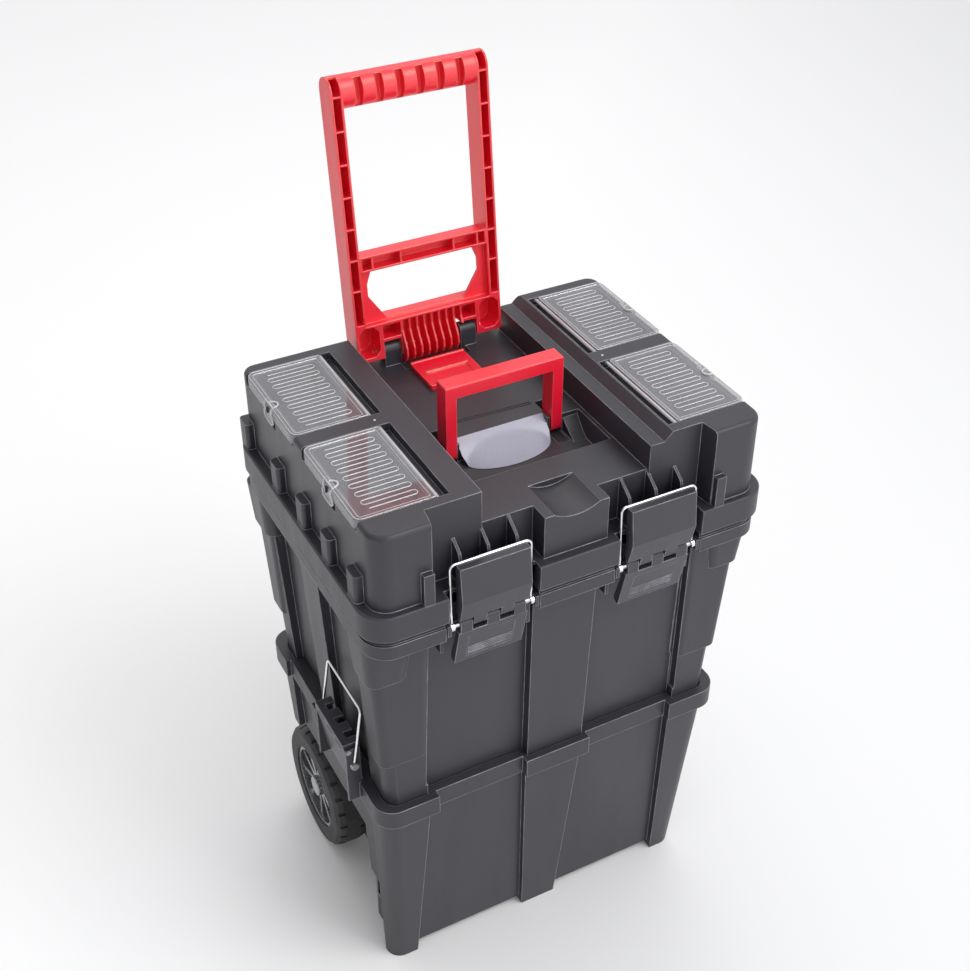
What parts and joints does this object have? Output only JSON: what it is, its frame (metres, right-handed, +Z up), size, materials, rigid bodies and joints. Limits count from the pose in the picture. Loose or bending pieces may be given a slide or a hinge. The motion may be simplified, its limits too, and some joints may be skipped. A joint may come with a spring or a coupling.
{
  "type": "rolling tool box",
  "caption": "Upright wheeled tool box: ribbed bin with rear wheels, lift-off tub, latched lid with clear organiser lids, fold-down pull handle and carry handle.",
  "frame": {"origin": "on the floor, at the middle of the whole object's width and depth (pull handle up, everything closed)", "axes": "+Z up, +Y to the back (wheels and pull handle), +X to the right seen from the front"},
  "size_m": [0.432, 0.3712, 0.9023],
  "materials": {
    "charcoal_body": "satin moulded, fine grain",
    "charcoal_latch": "satin moulded",
    "red_plastic": "satin moulded",
    "clear_lid": "clear, glossy",
    "bright_wire": "bright drawn wire",
    "tyre": "matte tread",
    "silver_rim": "metallic silver",
    "steel_pin": "plain turned"
  },
  "bodies": {
    "lower_bin": {"lower_bin": "charcoal_body", "axle": "steel_pin", "axle_collars": "steel_pin", "side_latch_pins": "steel_pin"},
    "upper_tub": {"upper_tub": "charcoal_body", "front_latch_pins": "steel_pin", "lid_hinge_pins": "steel_pin"},
    "lid": {"lid_shell": "charcoal_body", "pull_handle_pins": "steel_pin", "carry_handle_pins": "steel_pin"},
    "pull_handle": {"pull_handle": "red_plastic"},
    "handle_lock_slider": {"handle_lock_slider": "red_plastic"},
    "carry_handle": {"carry_handle": "red_plastic"},
    "left_wheel": {"tyre_left": "tyre", "wheel_rim_left": "silver_rim", "hub_cap_left": "silver_rim"},
    "clear_lid_left_front": {"clear_lid_left_front": "clear_lid"},
    "clear_lid_left_rear": {"clear_lid_left_rear": "clear_lid"},
    "left_clasp": {"front_latch_plate_left": "charcoal_latch", "front_latch_bail_left": "bright_wire"},
    "left_clasp_lever": {"front_latch_lever_left": "charcoal_latch"},
    "left_side_bail": {"side_latch_bail_left": "bright_wire"},
    "left_side_lever": {"side_latch_lever_left": "charcoal_latch"},
    "right_wheel": {"tyre_right": "tyre", "wheel_rim_right": "silver_rim", "hub_cap_right": "silver_rim"},
    "clear_lid_right_front": {"clear_lid_right_front": "clear_lid"},
    "clear_lid_right_rear": {"clear_lid_right_rear": "clear_lid"},
    "right_clasp": {"front_latch_plate_right": "charcoal_latch", "front_latch_bail_right": "bright_wire"},
    "right_clasp_lever": {"front_latch_lever_right": "charcoal_latch"},
    "right_side_bail": {"side_latch_bail_right": "bright_wire"},
    "right_side_lever": {"side_latch_lever_right": "charcoal_latch"}
  },
  "joints": [
    {"name": "tub_lift_off", "type": "slide", "parent": "lower_bin", "child": "upper_tub", "axis": [0, 0, 1], "range_m": [0, 0.15]},
    {"name": "lid_hinge", "type": "hinge", "parent": "upper_tub", "child": "lid", "pos_m": [0, 0.1546, 0.541], "axis": [-1, 0, 0], "range_deg": [0, 95]},
    {"name": "pull_handle_fold", "type": "hinge", "parent": "lid", "child": "pull_handle", "pos_m": [0, 0.1366, 0.62], "axis": [1, 0, 0], "range_deg": [0, 96.5]},
    {"name": "handle_lock_slide", "type": "slide", "parent": "lid", "child": "handle_lock_slider", "axis": [0, -1, 0], "range_m": [0, 0.015]},
    {"name": "carry_handle_fold", "type": "hinge", "parent": "lid", "child": "carry_handle", "pos_m": [0, -0.0244, 0.593], "axis": [1, 0, 0], "range_deg": [0, 72]},
    {"name": "left_wheel_spin", "type": "hinge", "parent": "lower_bin", "child": "left_wheel", "pos_m": [-0.168, 0.0906, 0.075], "axis": [1, 0, 0], "continuous": true},
    {"name": "clear_lid_left_front_hinge", "type": "hinge", "parent": "lid", "child": "clear_lid_left_front", "pos_m": [-0.1244, -0.0792, 0.6368], "axis": [0, 1, 0], "range_deg": [0, 105]},
    {"name": "clear_lid_left_rear_hinge", "type": "hinge", "parent": "lid", "child": "clear_lid_left_rear", "pos_m": [-0.1244, 0.06465, 0.6368], "axis": [0, 1, 0], "range_deg": [0, 105]},
    {"name": "left_clasp_fold", "type": "hinge", "parent": "upper_tub", "child": "left_clasp", "pos_m": [-0.089, -0.1734, 0.516], "axis": [1, 0, 0], "range_deg": [0, 60]},
    {"name": "left_clasp_lever_pull", "type": "hinge", "parent": "upper_tub", "child": "left_clasp_lever", "pos_m": [-0.089, -0.1734, 0.516], "axis": [1, 0, 0], "range_deg": [-36, 0]},
    {"name": "left_side_bail_swing", "type": "hinge", "parent": "lower_bin", "child": "left_side_bail", "pos_m": [-0.207, -0.0624, 0.307], "axis": [0, -1, 0], "range_deg": [0, 150]},
    {"name": "left_side_lever_pull", "type": "hinge", "parent": "lower_bin", "child": "left_side_lever", "pos_m": [-0.211, -0.0624, 0.324], "axis": [0, 1, 0], "range_deg": [0, 55]},
    {"name": "right_wheel_spin", "type": "hinge", "parent": "lower_bin", "child": "right_wheel", "pos_m": [0.168, 0.0906, 0.075], "axis": [1, 0, 0], "continuous": true},
    {"name": "clear_lid_right_front_hinge", "type": "hinge", "parent": "lid", "child": "clear_lid_right_front", "pos_m": [0.1244, -0.0792, 0.6368], "axis": [0, -1, 0], "range_deg": [0, 105]},
    {"name": "clear_lid_right_rear_hinge", "type": "hinge", "parent": "lid", "child": "clear_lid_right_rear", "pos_m": [0.1244, 0.06465, 0.6368], "axis": [0, -1, 0], "range_deg": [0, 105]},
    {"name": "right_clasp_fold", "type": "hinge", "parent": "upper_tub", "child": "right_clasp", "pos_m": [0.089, -0.1734, 0.516], "axis": [1, 0, 0], "range_deg": [0, 60]},
    {"name": "right_clasp_lever_pull", "type": "hinge", "parent": "upper_tub", "child": "right_clasp_lever", "pos_m": [0.089, -0.1734, 0.516], "axis": [1, 0, 0], "range_deg": [-36, 0]},
    {"name": "right_side_bail_swing", "type": "hinge", "parent": "lower_bin", "child": "right_side_bail", "pos_m": [0.207, -0.0624, 0.307], "axis": [0, 1, 0], "range_deg": [0, 150]},
    {"name": "right_side_lever_pull", "type": "hinge", "parent": "lower_bin", "child": "right_side_lever", "pos_m": [0.211, -0.0624, 0.324], "axis": [0, -1, 0], "range_deg": [0, 55]}
  ],
  "couplings": [
    {"joint": "left_clasp_lever_pull", "follows": "left_clasp_fold", "ratio": -0.6},
    {"joint": "right_clasp_lever_pull", "follows": "right_clasp_fold", "ratio": -0.6}
  ]
}
